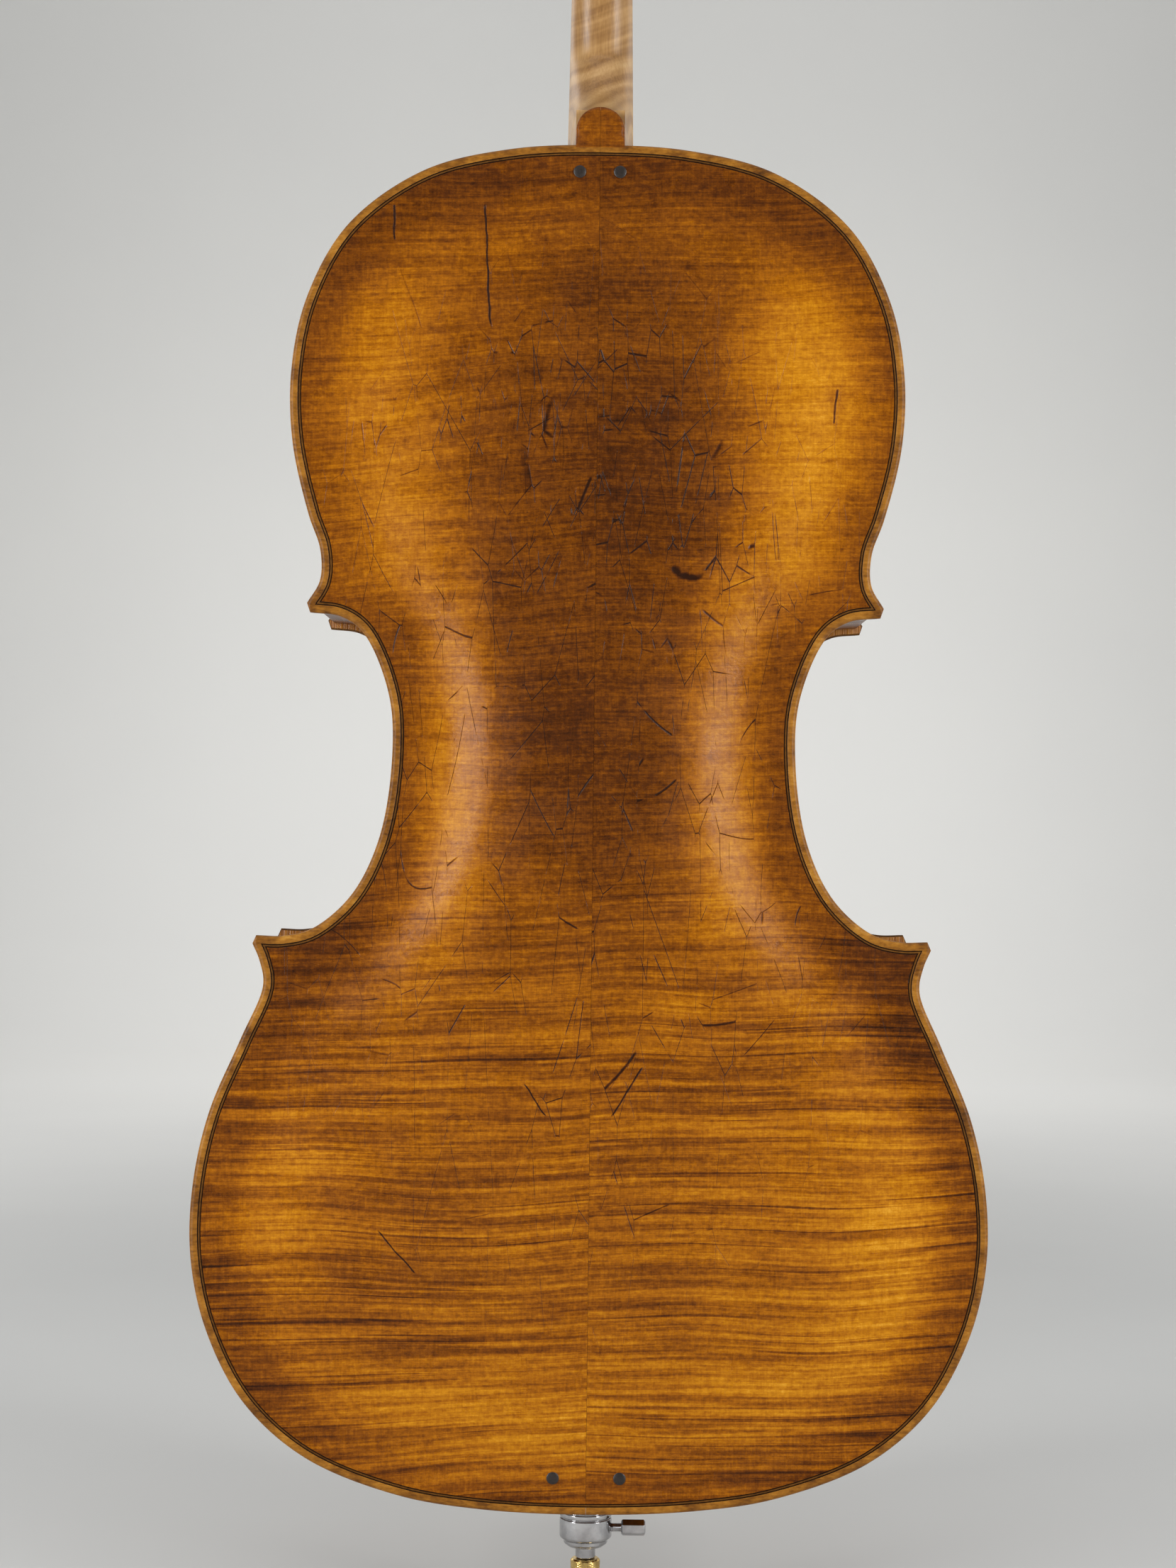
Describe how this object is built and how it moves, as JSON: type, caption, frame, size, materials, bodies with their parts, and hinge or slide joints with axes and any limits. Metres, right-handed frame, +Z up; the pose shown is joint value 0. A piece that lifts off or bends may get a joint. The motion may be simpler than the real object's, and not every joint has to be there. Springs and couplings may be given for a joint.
{
  "type": "cello",
  "caption": "Bowed string instrument with arched wooden plates on bent ribs, a carved scroll head with turning pegs, a bridge, a tailpiece with fine tuners and a sliding endpin.",
  "frame": {"origin": "centre of the endpin tip's flat underside, where it meets the floor", "axes": "+Z up along the body towards the scroll, -Y towards the strings and the top plate, +Y towards the back plate, +X towards the treble side"},
  "size_m": [0.4392, 0.2569, 1.2961],
  "materials": {
    "back_maple": "golden brown varnish over flamed maple, worn",
    "rib_maple": "golden brown varnish over flamed maple",
    "top_spruce": "golden brown varnish over straight-grained spruce",
    "inner_spruce": "bare",
    "willow": "bare",
    "neck_maple": "oiled flamed maple, satin",
    "head_maple": "dark brown varnish, worn",
    "bridge_maple": "bare, aged",
    "ebony": "polished ebony",
    "tailpiece_ebony": "polished ebony",
    "rosewood": "polished rosewood",
    "string_steel": "wound metal",
    "chrome": "polished",
    "brass": "knurled",
    "rubber": "matte",
    "cord": "matte"
  },
  "bodies": {
    "body": {"back_bass_half": "back_maple", "back_treble_half": "back_maple", "top_bass_half": "top_spruce", "top_treble_half": "top_spruce", "purfling_back": "ebony", "purfling_top": "ebony", "rib_lower_bass": "rib_maple", "rib_waist_bass": "rib_maple", "rib_upper_bass": "rib_maple", "rib_lower_treble": "rib_maple", "rib_waist_treble": "rib_maple", "rib_upper_treble": "rib_maple", "block_bottom": "willow", "block_top": "willow", "block_lower_bass": "willow", "block_upper_bass": "willow", "lining_lower_bass": "willow", "lining_waist_bass": "willow", "lining_upper_bass": "willow", "pin_upper_bass": "ebony", "pin_lower_bass": "ebony", "block_lower_treble": "willow", "block_upper_treble": "willow", "lining_lower_treble": "willow", "lining_waist_treble": "willow", "lining_upper_treble": "willow", "pin_upper_treble": "ebony", "pin_lower_treble": "ebony", "bass_bar": "inner_spruce", "soundpost": "inner_spruce", "neck": "neck_maple", "head": "head_maple", "fingerboard": "ebony", "nut": "ebony", "saddle": "ebony", "bridge": "bridge_maple", "tailpiece": "tailpiece_ebony", "tail_cord": "cord", "string_c": "string_steel", "string_g": "string_steel", "string_d": "string_steel", "string_a": "string_steel", "endpin_plug": "ebony", "endpin_collar": "chrome"},
    "peg_c": {"peg_c": "rosewood"},
    "peg_g": {"peg_g": "rosewood"},
    "peg_d": {"peg_d": "rosewood"},
    "peg_a": {"peg_a": "rosewood"},
    "tuner_screw_c": {"tuner_screw_c": "chrome"},
    "tuner_lever_c": {"tuner_lever_c": "chrome"},
    "tuner_screw_g": {"tuner_screw_g": "chrome"},
    "tuner_lever_g": {"tuner_lever_g": "chrome"},
    "tuner_screw_d": {"tuner_screw_d": "chrome"},
    "tuner_lever_d": {"tuner_lever_d": "chrome"},
    "tuner_screw_a": {"tuner_screw_a": "chrome"},
    "tuner_lever_a": {"tuner_lever_a": "chrome"},
    "endpin": {"endpin_rod": "chrome", "endpin_ferrule": "brass", "endpin_tip": "rubber"},
    "thumbscrew": {"thumbscrew": "chrome"}
  },
  "joints": [
    {"name": "peg_c_turn", "type": "hinge", "parent": "body", "child": "peg_c", "pos_m": [0, -0.0132, 1.13925], "axis": [-1, 0, 0], "continuous": true},
    {"name": "peg_g_turn", "type": "hinge", "parent": "body", "child": "peg_g", "pos_m": [0, 0.00392, 1.18839], "axis": [-1, 0, 0], "continuous": true},
    {"name": "peg_d_turn", "type": "hinge", "parent": "body", "child": "peg_d", "pos_m": [0, 0.01046, 1.21149], "axis": [1, 0, 0], "continuous": true},
    {"name": "peg_a_turn", "type": "hinge", "parent": "body", "child": "peg_a", "pos_m": [0, -0.00445, 1.16272], "axis": [1, 0, 0], "continuous": true},
    {"name": "tuner_screw_c_turn", "type": "hinge", "parent": "body", "child": "tuner_screw_c", "pos_m": [-0.0185, -0.14418, 0.27702], "axis": [0, 0.9734, 0.2293], "range_deg": [0, 2160]},
    {"name": "tuner_lever_c_tilt", "type": "hinge", "parent": "body", "child": "tuner_lever_c", "pos_m": [-0.0185, -0.13646, 0.30401], "axis": [1, 0, 0], "range_deg": [0, 6]},
    {"name": "tuner_screw_g_turn", "type": "hinge", "parent": "body", "child": "tuner_screw_g", "pos_m": [-0.0062, -0.14418, 0.27702], "axis": [0, 0.9734, 0.2293], "range_deg": [0, 2160]},
    {"name": "tuner_lever_g_tilt", "type": "hinge", "parent": "body", "child": "tuner_lever_g", "pos_m": [-0.0062, -0.13646, 0.30401], "axis": [1, 0, 0], "range_deg": [0, 6]},
    {"name": "tuner_screw_d_turn", "type": "hinge", "parent": "body", "child": "tuner_screw_d", "pos_m": [0.0062, -0.14418, 0.27702], "axis": [0, 0.9734, 0.2293], "range_deg": [0, 2160]},
    {"name": "tuner_lever_d_tilt", "type": "hinge", "parent": "body", "child": "tuner_lever_d", "pos_m": [0.0062, -0.13646, 0.30401], "axis": [1, 0, 0], "range_deg": [0, 6]},
    {"name": "tuner_screw_a_turn", "type": "hinge", "parent": "body", "child": "tuner_screw_a", "pos_m": [0.0185, -0.14418, 0.27702], "axis": [0, 0.9734, 0.2293], "range_deg": [0, 2160]},
    {"name": "tuner_lever_a_tilt", "type": "hinge", "parent": "body", "child": "tuner_lever_a", "pos_m": [0.0185, -0.13646, 0.30401], "axis": [1, 0, 0], "range_deg": [0, 6]},
    {"name": "endpin_slide", "type": "slide", "parent": "body", "child": "endpin", "axis": [0, 0, -1], "range_m": [0, 0.35]},
    {"name": "thumbscrew_turn", "type": "hinge", "parent": "body", "child": "thumbscrew", "pos_m": [-0.0203, 0, 0.048], "axis": [-1, 0, 0], "range_deg": [0, 720]}
  ],
  "couplings": [
    {"joint": "tuner_screw_c_turn", "follows": "tuner_lever_c_tilt", "ratio": 360},
    {"joint": "tuner_screw_g_turn", "follows": "tuner_lever_g_tilt", "ratio": 360},
    {"joint": "tuner_screw_d_turn", "follows": "tuner_lever_d_tilt", "ratio": 360},
    {"joint": "tuner_screw_a_turn", "follows": "tuner_lever_a_tilt", "ratio": 360}
  ]
}
